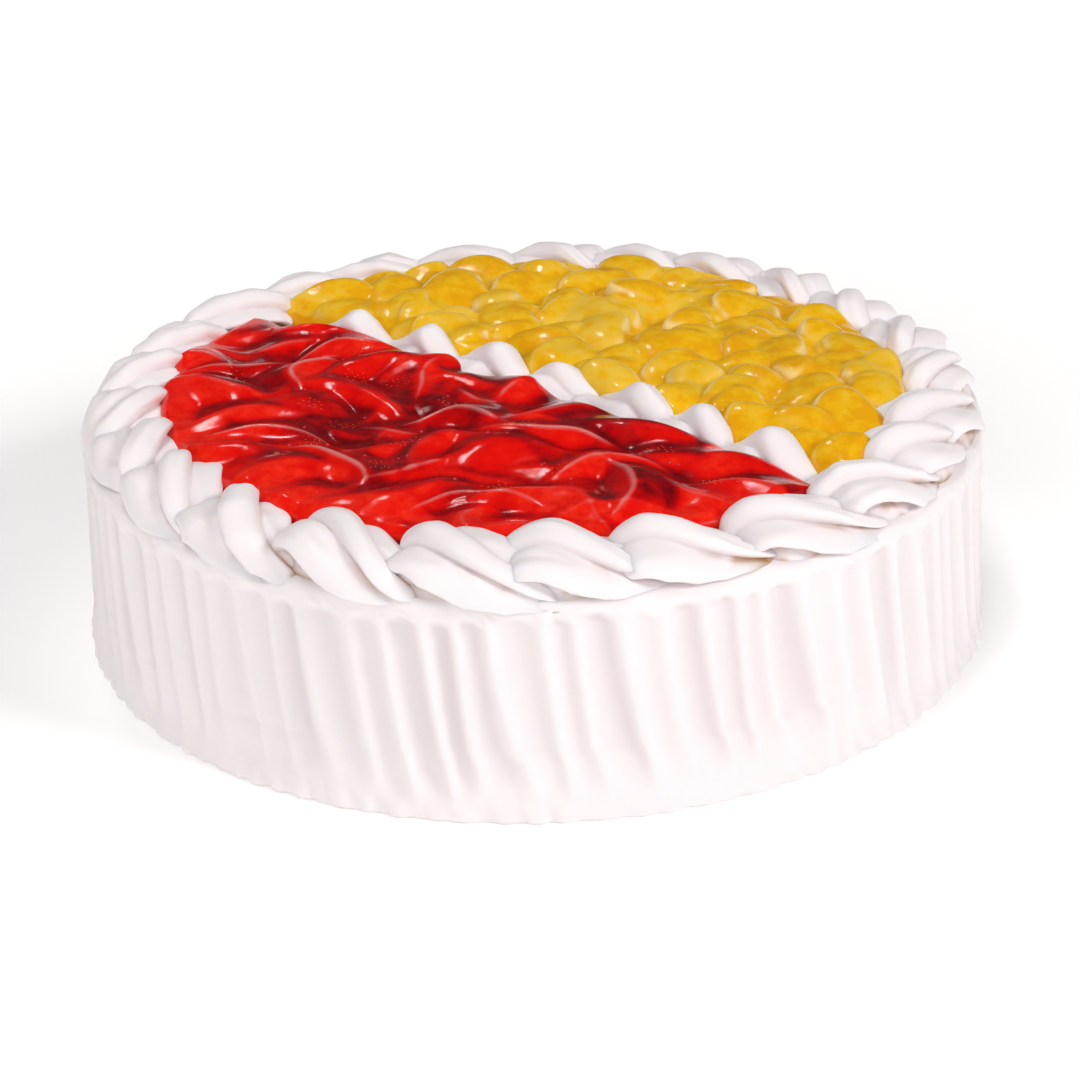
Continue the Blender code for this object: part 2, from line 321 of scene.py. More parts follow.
def strawberry_gel():
    """Red fruit glaze: a clear sugar gel, poured wet over cut strawberries.

    To the eye it is bright red where fruit lies close under it and dark crimson where it is deep,
    with painted light on the fronts of the pieces and painted shade on their backs. It has a wet
    gloss, with painted pale pink highlight lines on its crests over the edges of the fruit and a
    faint painted sheen on its swells.
    """
    material, tree, shader, parts, flesh = fruit_in_gel(
        "strawberry_gel", channel="Red", mottling=0.24, grain=4.0 * MM, roughness=0.7,
        contrast=0.16, relief=(0.3, 0.3 * MM), stops=(
            (0.02, linear("F22C18")), (0.2, linear("E6140A")),
            (0.4, bpy.context.scene.cake_colours.strawberry), (0.64, linear("B2050A")),
            (0.95, linear("6A040C"))))
    # Painted highlights: pale pink lines on the gel's thin crests, a faint painted sheen on its
    # swells.
    thin = add_node(tree, "ShaderNodeMix", {"data_type": "RGBA"}, {
        "Factor": (parts, "Blue"), "A": (flesh, "Color"), "B": (*linear("D48380"), 1.0),
    })
    tree.links.new(thin.outputs["Result"], shader.inputs["Base Color"])
    set_inputs(shader, {
        "Roughness": 0.16, "IOR": 1.42, "Specular IOR Level": 0.12, "Subsurface Weight": 0.3,
        "Subsurface Scale": 2.5 * MM, "Subsurface Radius": (1.0, 0.15, 0.1),
        "Coat Weight": 0.25, "Coat Roughness": 0.04,
    })
    return material


def peach_gel():
    """Yellow fruit in clear glaze: soft tinned slices with a thin wet coat.

    To the eye it is a warm golden yellow, more orange where slices meet, with a milky haze in
    the flesh and soft highlights, and painted pale highlight lines on the far rims of the slices
    and on thin crests.
    """
    material, tree, shader, parts, flesh = fruit_in_gel(
        "peach_gel", channel="Green", mottling=0.5, grain=6.0 * MM, roughness=0.6,
        contrast=0.14, relief=(0.45, 0.5 * MM), stops=(
            (0.25, linear("E8A60C")), (0.5, bpy.context.scene.cake_colours.peach),
            (0.8, linear("EEC040"))))
    deep = add_node(tree, "ShaderNodeMix", {"data_type": "RGBA"}, {
        "Factor": (parts, "Red"), "A": (flesh, "Color"), "B": (*linear("DC9606"), 1.0),
    })
    # Painted highlights: pale lines on the slices' far rims and thin crests, a faint painted sheen on
    # swells.
    thin = add_node(tree, "ShaderNodeMix", {"data_type": "RGBA"}, {
        "Factor": (parts, "Blue"), "A": (deep, "Result"), "B": (*linear("F4D48C"), 1.0),
    })
    tree.links.new(thin.outputs["Result"], shader.inputs["Base Color"])
    set_inputs(shader, {
        "Roughness": 0.22, "IOR": 1.4, "Specular IOR Level": 0.12, "Subsurface Weight": 0.5,
        "Subsurface Scale": 3.0 * MM, "Subsurface Radius": (1.0, 0.75, 0.2),
        "Coat Weight": 0.36, "Coat Roughness": 0.04,
    })
    return material


def strawberry_seed():
    """Strawberry seeds under a film of gel: small hard pips, straw coloured, tinted by the red.

    To the eye they are orange dots with a bright point, paler on some than on others.
    """
    material, tree, shader = new_material("strawberry_seed")
    place = add_node(tree, "ShaderNodeTexCoord")
    ripeness = add_node(tree, "ShaderNodeTexNoise", None, {
        "Vector": (place, "Object"), "Scale": 1.0 / (5.0 * MM), "Detail": 1.0,
    })
    tint = add_node(tree, "ShaderNodeMix", {"data_type": "RGBA"}, {
        "Factor": (ripeness, "Fac"), "A": (*linear("B81A0C"), 1.0), "B": (*linear("EE8A4E"), 1.0),
    })
    tree.links.new(tint.outputs["Result"], shader.inputs["Base Color"])
    set_inputs(shader, {"Roughness": 0.3, "Coat Weight": 0.4, "Coat Roughness": 0.05})
    return material


def matt_paper_sweep():
    """White backdrop paper, matt and uncoated.

    To the eye it is an even white that glows more the farther it lies from the cake, so that the
    photograph's camera sees no edge in it.
    """
    material, tree, shader = new_material("matt_paper_sweep")
    place = add_node(tree, "ShaderNodeTexCoord")
    away = add_node(tree, "ShaderNodeVectorMath", {"operation": "LENGTH"}, {
        0: (place, "Object"),
    })
    glow = add_node(tree, "ShaderNodeMapRange", None, {
        "Value": (away, "Value"), "From Min": 0.15, "From Max": 0.8, "To Min": 0.2,
        "To Max": 0.65,
    })
    tree.links.new(glow.outputs["Result"], shader.inputs["Emission Strength"])
    set_inputs(shader, {
        "Base Color": (*linear("F4F3F2"), 1.0), "Roughness": 0.9,
        "Emission Color": (1.0, 1.0, 1.0, 1.0),
    })
    return material


def deselect_all():
    """Leave nothing selected, so that the next operator acts on its own piece alone."""
    bpy.ops.object.select_all(action="DESELECT")


def coordinates(mesh):
    """The mesh's points as an array of rows."""
    flat = np.empty(len(mesh.vertices) * 3)
    mesh.vertices.foreach_get("co", flat)
    return flat.reshape(-1, 3)


def set_coordinates(mesh, points):
    """Write an array of rows back to the mesh's points."""
    mesh.vertices.foreach_set("co", np.ascontiguousarray(points).ravel())
    mesh.update()


def edge_ends(mesh):
    """The pair of points at the ends of each of the mesh's edges."""
    flat = np.empty(len(mesh.edges) * 2, dtype=int)
    mesh.edges.foreach_get("vertices", flat)
    return flat.reshape(-1, 2)


def add_marks(mesh, name, values):
    """Store one value for each point of the mesh, for its material to read."""
    marks = mesh.attributes.new(name, "FLOAT", "POINT")
    marks.data.foreach_set("value", values)


def select_upright_edges(piece):
    """In edit mode, select only the upright edges of a cylinder as tall as the side."""
    shape = bmesh.from_edit_mesh(piece.data)
    for element in (*shape.verts, *shape.edges, *shape.faces):
        element.select = False
    for edge in shape.edges:
        edge.select = abs(edge.verts[0].co.z - edge.verts[1].co.z) > WALL_HEIGHT / 2.0
    shape.select_flush_mode()
    bmesh.update_edit_mesh(piece.data)


def shaped_copy(blank, points):
    """A copy of a blank with its points moved."""
    copy = bpy.data.objects.new("copy", blank.data.copy())
    bpy.context.scene.collection.objects.link(copy)
    set_coordinates(copy.data, points)
    return copy


def join_copies(blank, copies, name):
    """Join shaped copies in one piece and remove the blank that they were made from."""
    bpy.data.objects.remove(blank, do_unlink=True)
    deselect_all()
    for copy in copies:
        copy.select_set(True)
    bpy.context.view_layer.objects.active = copies[0]
    bpy.ops.object.join()
    piece = bpy.context.active_object
    piece.name = name
    return piece


def finish_piece(piece, material, replaced):
    """Give a piece its material and smooth shading, and stand it in for its node."""
    piece.data.materials.clear()
    piece.data.materials.append(material)
    piece.data.shade_smooth()
    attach(piece, "root")
    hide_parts(replaced)


def smooth_step(low, high, value):
    """0 below low, 1 above high, and smooth between."""
    share = np.clip((value - low) / (high - low), 0.0, 1.0)
    return share * share * (3.0 - 2.0 * share)


def band(value, start, full, fade, end):
    """1 between full and fade, 0 outside start and end, and smooth between."""
    return smooth_step(start, full, value) * smooth_step(end, fade, value)


def along_and_beside(turn, x, y):
    """How far x and y reach along a heading, given as an angle, and to the left of it."""
    return x * math.cos(turn) + y * math.sin(turn), y * math.cos(turn) - x * math.sin(turn)


def ripple(angle, draw, waves, slowest, fastest):
    """A smooth wandering value round the cake, about -1 to 1, the same at both ends of a turn."""
    total = np.zeros_like(angle)
    for _ in range(waves):
        total += np.cos(draw.randint(slowest, fastest) * angle + draw.uniform(0.0, math.tau))
    return total / math.sqrt(waves)


def along_stations(stations, share):
    """Values at a share of the way through a list of stations, on smooth curves."""
    table = np.array(stations)
    last = len(table) - 1
    at = np.clip(share, 0.0, 1.0) * last
    left = np.minimum(at.astype(int), last - 1)
    part = (at - left)[:, None]
    before, start = table[np.maximum(left - 1, 0)], table[left]
    end, after = table[left + 1], table[np.minimum(left + 2, last)]
    start_slope, end_slope = (end - before) / 2.0, (after - start) / 2.0
    return (
        start * (1.0 + 2.0 * part) * (1.0 - part) ** 2
        + start_slope * part * (1.0 - part) ** 2
        + end * part ** 2 * (3.0 - 2.0 * part)
        - end_slope * part ** 2 * (1.0 - part)
    )


class CakeSizes(bpy.types.PropertyGroup):
    """Sizes that a baker would change."""

    flute_count: IntProperty(
        name="Comb marks", description="Marks of the comb round the side", default=80, min=8)
    flute_depth: FloatProperty(
        name="Comb depth", description="How deep the comb bites", default=2.2 * MM,
        subtype="DISTANCE", unit="LENGTH")
    rim_shells: IntProperty(
        name="Rim shells", description="Shells piped round the rim", default=25, min=6)
    row_shells: IntProperty(
        name="Row shells", description="Shells piped across the top", default=7, min=2)
    shell_lobes: IntProperty(
        name="Nozzle lobes", description="Lobes that the star nozzle leaves on a shell",
        default=4, min=3)
    shell_groove: FloatProperty(
        name="Groove", description="Depth of the creases between lobes, as a share of the shell",
        default=0.38, subtype="FACTOR")


class CakeColours(bpy.types.PropertyGroup):
    """Colours of the cake, as linear values."""

    cream: FloatVectorProperty(
        name="Cream", description="Whipped cream", default=linear("F7EEEF"), size=3,
        subtype="COLOR", min=0.0, max=1.0)
    strawberry: FloatVectorProperty(
        name="Strawberry", description="Fruit close under the red gel", default=linear("DC0A05"),
        size=3, subtype="COLOR", min=0.0, max=1.0)
    peach: FloatVectorProperty(
        name="Peach", description="Yellow fruit", default=linear("EEB714"), size=3,
        subtype="COLOR", min=0.0, max=1.0)


def comb_marks(angle, height, sizes, draw):
    """How deep the comb bit, where it did, the grooves' painted shade, and the angle its teeth follow.

    The marks slant, stray a little, and differ in depth and in the heights where they end.
    """
    count = sizes.flute_count
    leaning = math.tan(COMB_SLANT) / FOOT_RADIUS * (WALL_HEIGHT - height)
    stray = 0.22 * ripple(angle, draw, 6, 6, 34) * math.tau / count
    overlap = smooth_step(*SECOND_PASS, height) * math.tau / count
    second_pass = 0.07 * overlap * (1.0 + ripple(angle, draw, 4, 3, 12))
    turned = angle - leaning * (1.0 - 0.35 * height / WALL_HEIGHT) + stray + second_pass
    flute = (turned % math.tau) * count / math.tau
    index = np.minimum(flute.astype(int), count - 1)
    across = flute - index
    deep, high, low = [np.array([draw.random() for _ in range(count)]) for _ in range(3)]
    arch = (2.0 * across - 1.0) ** 2
    top_end = (COMB_TOP_END - 2.2 * high[index] - 1.3 * arch) * MM
    low_end = (COMB_FOOT_END + 3.0 * low[index] + 1.2 * arch) * MM
    marked = smooth_step(0.0, COMB_TOP_FADE, top_end - height)
    marked *= smooth_step(0.0, COMB_FOOT_FADE, height - low_end)
    scallop = np.sqrt(np.sin(math.pi * across) ** 2 + COMB_RIDGE ** 2)
    scallop = (scallop - COMB_RIDGE) / (1.0 - COMB_RIDGE)
    pressed = np.clip(0.62 + 0.38 * np.cos(angle - COMB_DEEP_SIDE), 0.5, 1.0)
    bite = (0.5 + 0.5 * deep[index]) * pressed * scallop ** 0.8 * marked
    # Painted shade in the grooves: darker where the comb bit deep and on the side of each groove away
    # from the key light, and fading out towards the foot.
    hollow = (0.3 + 0.5 * low[index]) * smooth_step(0.1, 0.9, bite)
    hollow *= 0.25 + 0.75 * smooth_step(0.15, 0.85, across)
    hollow *= smooth_step(2.0 * MM, 24.0 * MM, height)
    return sizes.flute_depth * bite, marked, hollow, turned


def uneven_side(angle, height, turned, marked, draw):
    """How far the side stands out: smears, ragged foot and torn top, less its ledge and drag lines."""
    wander = np.sin(height / SMEAR_SPACING + 3.0 * np.sin(2.0 * angle))
    smear = SMEAR_DEPTH * ripple(angle, draw, 6, 3, 25) * wander * marked
    lumps = 0.5 + 0.5 * ripple(angle + 0.4 * height / FOOT_RADIUS, draw, 8, 30, 130)
    flare = FLARE_DEPTH * smooth_step(*FLARE_HEIGHTS, height) * np.clip(lumps, 0.0, 1.0)
    torn = np.clip(ripple(angle + 0.6 * height / FOOT_RADIUS, draw, 9, 40, 260), 0.0, 2.0)
    torn *= TORN_DEPTH * band(height, *TORN_HEIGHTS)
    ledge = LEDGE_DEPTH * band(height, *LEDGE_HEIGHTS) * ripple(angle, draw, 4, 3, 12)
    drag = DRAG_DEPTH * np.clip(ripple(turned, draw, 9, 120, 320), 0.0, 2.0)
    return smear + flare + torn - ledge - drag


def frosted_side(angle, height, sizes):
    """Radius of the frosted side, with its taper and rounded ends, and its grooves' painted shade."""
    draw = random.Random(SEED)
    groove, marked, hollow, turned = comb_marks(angle, height, sizes, draw)
    radius = FOOT_RADIUS - WALL_ROOM - WALL_TAPER * height / WALL_HEIGHT - groove
    radius += uneven_side(angle, height, turned, marked, draw)
    shoulder = np.clip((height - (WALL_HEIGHT - SHOULDER_ROUND)) / SHOULDER_ROUND, 0.0, 1.0)
    radius -= SHOULDER_ROUND * (1.0 - np.sqrt(1.0 - shoulder ** 2))
    underside = np.clip(1.0 - height / FOOT_ROUND_HEIGHT, 0.0, 1.0)
    radius -= FOOT_ROUND_DEPTH * (1.0 - np.sqrt(1.0 - underside ** 2))
    return np.minimum(radius, FOOT_RADIUS), hollow


class CAKE_OT_add_frosting(bpy.types.Operator):
    """Model the frosted drum: a cylinder whose side is combed into slanting flutes"""

    bl_idname = "cake.add_frosting"
    bl_label = "Frosted body"

    columns_per_flute = 9
    rows = 92

    def execute(self, context):
        sizes = context.scene.cake_sizes
        deselect_all()
        bpy.ops.mesh.primitive_cylinder_add(
            vertices=sizes.flute_count * self.columns_per_flute, radius=FOOT_RADIUS,
            depth=WALL_HEIGHT, location=(0.0, 0.0, WALL_HEIGHT / 2.0), end_fill_type="NGON")
        piece = context.active_object
        piece.name = "frosted_body"
        bpy.ops.object.transform_apply(location=True)
        bpy.ops.object.mode_set(mode="EDIT")
        bpy.ops.mesh.select_mode(type="EDGE")
        select_upright_edges(piece)
        bpy.ops.mesh.subdivide(number_cuts=self.rows)
        bpy.ops.object.mode_set(mode="OBJECT")
        points = coordinates(piece.data)
        height = points[:, 2]
        angle = np.arctan2(points[:, 1], points[:, 0])
        radius, hollow = frosted_side(angle, height, sizes)
        add_marks(piece.data, "hollow", hollow)
        points[:, 0] = radius * np.cos(angle)
        points[:, 1] = radius * np.sin(angle)
        set_coordinates(piece.data, points)
        finish_piece(piece, whipped_cream("spread_whipped_cream", 0.6), "cake_body")
        return {"FINISHED"}


def shell_folds(across, along, angle, shell, lobes, groove):
    """How far a shell's folds draw it in, how creased it is, and where its crest peaks.

    The lobes curl over one another towards the flanks, their edges are ruffled, and fine strands
    run along some of them.
    """
    draw = shell.draw
    curl = draw.uniform(0.05, 0.1) * np.sin(math.tau * along + draw.uniform(-0.4, 0.4))
    uneven = draw.uniform(-0.05, 0.05) * np.sin(math.tau * across + draw.uniform(0.0, math.tau))
    rolled = draw.uniform(-0.03, 0.03) - shell.roll + curl
    turned = across + rolled * np.sin(math.pi * across) + uneven
    sweep = draw.uniform(0.10, 0.2) * (along - 0.25) * np.sin(math.pi * across)
    within = ((turned - sweep) * lobes + 0.5 * ((lobes + 1) % 2)) % 1.0
    skew = 1.0 + draw.uniform(0.8, 1.5) * smooth_step(0.05, 0.22, np.abs(across - 0.5))
    lip = np.where(across > 0.5, within, 1.0 - within) ** skew
    crease = np.abs(2.0 * lip - 1.0) ** draw.uniform(1.7, 2.5)
    swell = 1.0 + SHELL_SWELL * math.sin(draw.uniform(0.0, math.tau)) * np.sin(2.0 * angle)
    bite = groove * draw.uniform(0.85, 1.1) * (0.55 + 0.45 * np.sin(math.pi * along) ** 0.5)
    waves, lag = draw.uniform(2.0, 3.6), draw.uniform(0.0, math.tau)
    ruffle = draw.uniform(0.0, 0.07) * np.sin(math.tau * waves * along + lag + 5.0 * across)
    peak = draw.uniform(0.27, 0.4)
    strands, shift = draw.uniform(2.2, 3.2) * lobes, draw.uniform(0.0, math.pi)
    strand = 1.0 - np.abs(np.sin(math.pi * strands * (turned - 1.4 * sweep) + shift))
    spells, late = draw.uniform(0.8, 1.6), draw.uniform(0.0, math.tau)
    shown = np.clip(0.5 + np.sin(math.tau * (spells * along + 0.7 * across) + late), 0.0, 1.0)
    drawn_in = (1.0 - bite * crease) * swell * (1.0 - np.abs(ruffle))
    return drawn_in * (1.0 - SHELL_STRAND_DEPTH * shown * strand), crease ** 3, peak


def shell_points(across, along, shell, lobes, groove):
    """Points of one piped shell, ahead of, beside and above its head, and how creased each is.

    across runs from one flank over the crest to the other and along from head to tail. The
    slant turns the shell on the spot, so that its tail runs out to the rim, and the crown lifts
    its crest to a peak behind the head.
    """
    foot, lean, reach, half = along_stations(SHELL_RIBS, along).T
    angle = -SHELL_FLANK + (math.pi + 2.0 * SHELL_FLANK) * across
    factor, crease, peak = shell_folds(across, along, angle, shell, lobes, groove)
    raised = SHELL_BASE * np.sin(math.pi * np.clip(along * 1.05, 0.0, 1.0)) ** 0.5
    rise = np.sign(np.sin(angle)) * np.abs(np.sin(angle)) ** shell.pinch
    out = np.maximum(reach * MM * (raised + (1.0 - raised) * rise * factor), 0.0)
    tilt = np.radians(lean)
    spread = 0.17 - 0.08 * shell.crown
    crown = 1.0 + shell.crown * (np.exp(-((along - peak) / spread) ** 2) - 1.0)
    forward = shell.size * (foot * MM + out * np.cos(tilt))
    up = shell.size * shell.tall * out * np.sin(tilt) * crown
    aside = shell.size * half * MM * np.cos(angle) * factor
    beyond, aside = along_and_beside(-shell.slant, forward - SHELL_PIVOT * MM, aside)
    return SHELL_PIVOT * MM + beyond, aside, np.maximum(up, 0.0), crease


def on_rim(head_angle):
    """Placing function for a shell whose head stands at an angle of the rim's circle."""
    def where(forward, aside, up):
        angle = head_angle + forward / RIM_RADIUS
        radius = RIM_RADIUS - np.where(aside < 0.0, RIM_OUTER_STRETCH, 1.0) * aside
        past = np.maximum(radius - RIM_OVERHANG_START, 0.0)
        height = up - RIM_OVERHANG_DROOP * past ** 2
        return np.column_stack((radius * np.cos(angle), radius * np.sin(angle), height))
    return where


def row_frame(share):
    """Points and headings on the arc of the shell row, at shares of its length."""
    start, chord = np.array(ROW_START), np.array(ROW_END - ROW_START)
    side = np.array((chord[1], -chord[0])) / np.hypot(*chord)
    share = np.asarray(share)[..., None]
    point = start + chord * share + side * (4.0 * ROW_BULGE * share * (1.0 - share))
    heading = chord + side * (4.0 * ROW_BULGE * (1.0 - 2.0 * share))
    return point, heading / np.linalg.norm(heading, axis=-1, keepdims=True)


def on_row(head_share):
    """Placing function for a shell whose head stands at a share of the row."""
    length = (ROW_END - ROW_START).length

    def where(forward, aside, up):
        point, heading = row_frame(head_share + forward / length)
        beside = np.column_stack((-heading[:, 1], heading[:, 0]))
        place = point + beside * aside[:, None]
        return np.column_stack((place, up))
    return where


@dataclass
class Shell:
    """One shell to pipe: its place, its shape factors and the draw for its chance differences.

    slant turns it, crown is how far its crest rises to a peak, pinch makes the crest thin, and
    roll turns the lobes about the line that it is piped along.
    """

    where: object
    size: float
    tall: float
    slant: float
    crown: float
    pinch: float
    roll: float
    draw: random.Random


def shell_blank(across_cells, along_cells):
    """A closed sheet to lay over a shell: a grid whose open edge is filled."""
    deselect_all()
    bpy.ops.mesh.primitive_grid_add(
        x_subdivisions=across_cells, y_subdivisions=along_cells, size=1.0, location=(0.5, 0.5, 0.0))
    blank = bpy.context.active_object
    bpy.ops.object.transform_apply(location=True)
    bpy.ops.object.mode_set(mode="EDIT")
    bpy.ops.mesh.select_all(action="DESELECT")
    bpy.ops.mesh.select_mode(type="EDGE")
    bpy.ops.mesh.select_non_manifold()
    bpy.ops.mesh.edge_face_add()
    bpy.ops.object.mode_set(mode="OBJECT")
    return blank


def pipe_shells(name, plan, lobes, groove):
    """Copy a blank for each planned shell, shape it, and join them in one piece."""
    blank = shell_blank(*SHELL_CELLS)
    shares = coordinates(blank.data)
    shells = []
    for planned in plan:
        forward, aside, up, crease = shell_points(
            shares[:, 0], shares[:, 1], planned, lobes, groove)
        points = planned.where(forward, aside, up)
        points[:, 2] += TOP_PLANE - SHELL_SINK
        shell = shaped_copy(blank, points)
        # The tan tint of painted shade and seeped milk, low in the creases and along the foot.
        low = smooth_step(*CREASE_SHADE_STAIN_HEIGHTS, up)
        foot = smooth_step(*FOOT_SHADE_STAIN_HEIGHTS, up)
        foot *= smooth_step(*FOOT_SHADE_STAIN_RADII, np.hypot(points[:, 0], points[:, 1]))
        add_marks(shell.data, "crease", np.clip(crease * low + 0.8 * foot, 0.0, 1.0))
        # Painted grey shade in the creases between the lobes.
        add_marks(shell.data, "hollow", 0.35 * crease)
        shells.append(shell)
    piece = join_copies(blank, shells, name)
    bpy.ops.object.mode_set(mode="EDIT")
    bpy.ops.mesh.select_all(action="SELECT")
    bpy.ops.mesh.normals_make_consistent(inside=False)
    bpy.ops.object.mode_set(mode="OBJECT")
    return piece


class CAKE_OT_add_rim_shells(bpy.types.Operator):
    """Pipe the border of shells round the rim, each head over the tail of the one before"""

    bl_idname = "cake.add_rim_shells"
    bl_label = "Rim shells"

    def execute(self, context):
        sizes = context.scene.cake_sizes
        plan = []
        for index in range(sizes.rim_shells):
            draw = random.Random(SEED * 100 + index)
            head = RIM_FIRST_HEAD + math.tau * index / sizes.rim_shells
            towards_back = 0.5 + 0.5 * math.sin(head)
            size = draw.uniform(0.92, 1.04)
            tall = draw.uniform(0.88, 0.97) / size * (1.0 - (1.0 - RIM_BACK_SCALE) * towards_back)
            slant = -math.radians(draw.uniform(7.0, 22.0))
            head += draw.uniform(-0.025, 0.025)
            crown, pinch = draw.uniform(0.0, 0.14), draw.uniform(0.95, 1.1)
            plan.append(Shell(on_rim(head), size, tall, slant, crown, pinch, 0.0, draw))
        piece = pipe_shells("piped_rim", plan, sizes.shell_lobes, sizes.shell_groove)
        finish_piece(piece, whipped_cream("piped_whipped_cream", 0.15), "rim_shells")
        return {"FINISHED"}


class CAKE_OT_add_row_shells(bpy.types.Operator):
    """Pipe the row of shells across the top"""

    bl_idname = "cake.add_row_shells"
    bl_label = "Row shells"

    def execute(self, context):
        sizes = context.scene.cake_sizes
        length = (ROW_END - ROW_START).length
        last_head = 1.0 - ROW_TAIL_ROOM / length
        plan = []
        for index in range(sizes.row_shells):
            draw = random.Random(SEED * 200 + index)
            share = last_head * index / (sizes.row_shells - 1)
            share += draw.uniform(-0.012, 0.012)
            size = draw.uniform(0.96, 1.04)
            slant = math.radians(draw.uniform(-6.0, 8.0))
            tall = draw.uniform(0.89, 0.965) / size
            crown, pinch = draw.uniform(0.38, 0.58), draw.uniform(1.4, 2.1)
            roll = draw.uniform(0.06, 0.15)
            plan.append(Shell(on_row(share), size, tall, slant, crown, pinch, roll, draw))
        piece = pipe_shells("piped_row", plan, sizes.shell_lobes - 1, 1.25 * sizes.shell_groove)
        finish_piece(piece, bpy.data.materials["piped_whipped_cream"], "divider_shells")
        return {"FINISHED"}


def beside_row(x, y):
    """Distance from the shell row's line in millimetres, positive towards the front left."""
    start = np.array(ROW_START) / MM
    chord = np.array(ROW_END - ROW_START) / MM
    length = np.hypot(*chord)
    share = ((x - start[0]) * chord[0] + (y - start[1]) * chord[1]) / length ** 2
    out = ((x - start[0]) * -chord[1] + (y - start[1]) * chord[0]) / length
    bulge = 4.0 * ROW_BULGE / MM * np.clip(share, 0.0, 1.0) * (1.0 - np.clip(share, 0.0, 1.0))
    return out + bulge


def heap_rooms(x, y, half):
    """Distances inside a topping's two edges, at the rim and at the row, in millimetres.

    half is 1 for the front left half and -1 for the back right one.
    """
    return HEAP_RADIUS - np.hypot(x, y), half * beside_row(x, y) - HEAP_ROW_ROOM


def edge_drop(room, width):
    """Share by which a heap's rounded edge has sunk, at a distance inside the edge."""
    return 1.0 - np.sqrt(1.0 - np.clip(1.0 - room / width, 0.0, 1.0) ** 2)


def smooth_maximum(first, second, fillet):
    """The greater of two heights, with a fillet where they cross."""
    near = np.maximum(fillet - np.abs(first - second), 0.0) / fillet
    return np.maximum(first, second) + near * near * fillet / 4.0


def scatter(half, spacing, stray, draw):
    """Places of fruit on a staggered grid over one half, each strayed a little."""
    places = []
    step = spacing * math.sqrt(3.0) / 2.0
    reach = int(HEAP_RADIUS / step) + 1
    for row in range(-reach, reach + 1):
        for column in range(-reach, reach + 1):
            x = (column + 0.5 * (row % 2)) * spacing + draw.uniform(-stray, stray)
            y = row * step + draw.uniform(-stray, stray)
            if min(heap_rooms(x, y, half)) > 2.0:
                places.append((x, y))
    return places


def patches(x, y, spacing, smallest, largest, draw):
    """Long rounded patches scattered over the red half, 0 to 1, some with firmer edges."""
    total = np.zeros_like(x)
    for centre_x, centre_y in scatter(1.0, spacing, 0.35 * spacing, draw):
        turn, size = draw.uniform(0.0, math.tau), draw.uniform(smallest, largest)
        along, beside = along_and_beside(turn, x - centre_x, y - centre_y)
        near = np.hypot(along / (1.5 * size), (beside + 0.03 * along ** 2) / size)
        core = draw.choice((0.3, 0.6, 0.8))
        patch = draw.uniform(0.35, 1.0) * smooth_step(1.5 - 0.5 * core, core, near)
        total = smooth_maximum(total, patch, 0.1)
    return total


def heap_sheet(name, half):
    """A fine sheet cut to one half of the cake's top, with a skirt drawn down and closed."""
    deselect_all()
    cells = round(2.0 * HEAP_RADIUS / HEAP_CELL)
    bpy.ops.mesh.primitive_grid_add(
        x_subdivisions=cells, y_subdivisions=cells, size=2.0 * HEAP_RADIUS * MM,
        location=(0.0, 0.0, 0.0))
    piece = bpy.context.active_object
    piece.name = name
    points = coordinates(piece.data) / MM
    outside = np.minimum(*heap_rooms(points[:, 0], points[:, 1], half)) < 0.0
    piece.data.vertices.foreach_set("select", outside)
    piece.data.edges.foreach_set("select", outside[edge_ends(piece.data)].all(axis=1))
    piece.data.polygons.foreach_set("select", np.zeros(len(piece.data.polygons), dtype=bool))
    bpy.ops.object.mode_set(mode="EDIT")
    bpy.ops.mesh.select_mode(type="VERT")
    bpy.ops.mesh.delete(type="VERT")
    bpy.ops.mesh.select_non_manifold()
    bpy.ops.mesh.extrude_region_move(TRANSFORM_OT_translate={"value": (0.0, 0.0, -HEAP_SKIRT * MM)})
    bpy.ops.mesh.select_mode(type="EDGE")
    bpy.ops.mesh.edge_face_add()
    bpy.ops.mesh.select_all(action="SELECT")
    bpy.ops.mesh.normals_make_consistent(inside=False)
    bpy.ops.object.mode_set(mode="OBJECT")
    return piece


def finish_heap(piece, half, fruit_heights, material, node):
    """Raise a sheet to the heights of its fruit and gel, and mark its depth, tone and painted
    highlights.
    """
    points = coordinates(piece.data)
    x, y = points[:, 0] / MM, points[:, 1] / MM
    upper = points[:, 2] > -0.5 * HEAP_SKIRT * MM
    surface, depth, tone, rim_highlights = fruit_heights(x, y)
    rim_room, row_room = heap_rooms(x, y, half)
    drop = np.maximum(edge_drop(rim_room, HEAP_RIM_EDGE), edge_drop(row_room, HEAP_ROW_EDGE))
    height = surface - HEAP_EDGE_DROP * drop
    points[:, 2] = np.where(upper, height, TOP_PLANE / MM - HEAP_SINK) * MM
    set_coordinates(piece.data, points)
    inside = smooth_step(0.9, 1.3, np.minimum(rim_room / HEAP_RIM_EDGE, row_room / HEAP_ROW_EDGE))
    # Painted highlights and sheen on the crests, kept off the heap's rounded edge, and the rim lines.
    painted_highlights = np.clip(inside * ridge_strength(piece.data, points[:, 2] / MM) + rim_highlights, 0.0, 1.0)
    marks = piece.data.color_attributes.new("gel", "FLOAT_COLOR", "POINT")
    values = np.column_stack((depth, tone, painted_highlights, np.ones_like(tone)))
    marks.data.foreach_set("color", values.ravel())
    finish_piece(piece, material, node)


def evened(edges, values, rounds):
    """Values at a mesh's points, each mixed with those of its neighbours a few times."""
    for _ in range(rounds):
        total, count = np.zeros_like(values), np.zeros_like(values)
        for one, other in ((0, 1), (1, 0)):
            np.add.at(total, edges[:, one], values[edges[:, other]])
            np.add.at(count, edges[:, one], 1.0)
        values = 0.5 * values + 0.5 * total / np.maximum(count, 1.0)
    return values


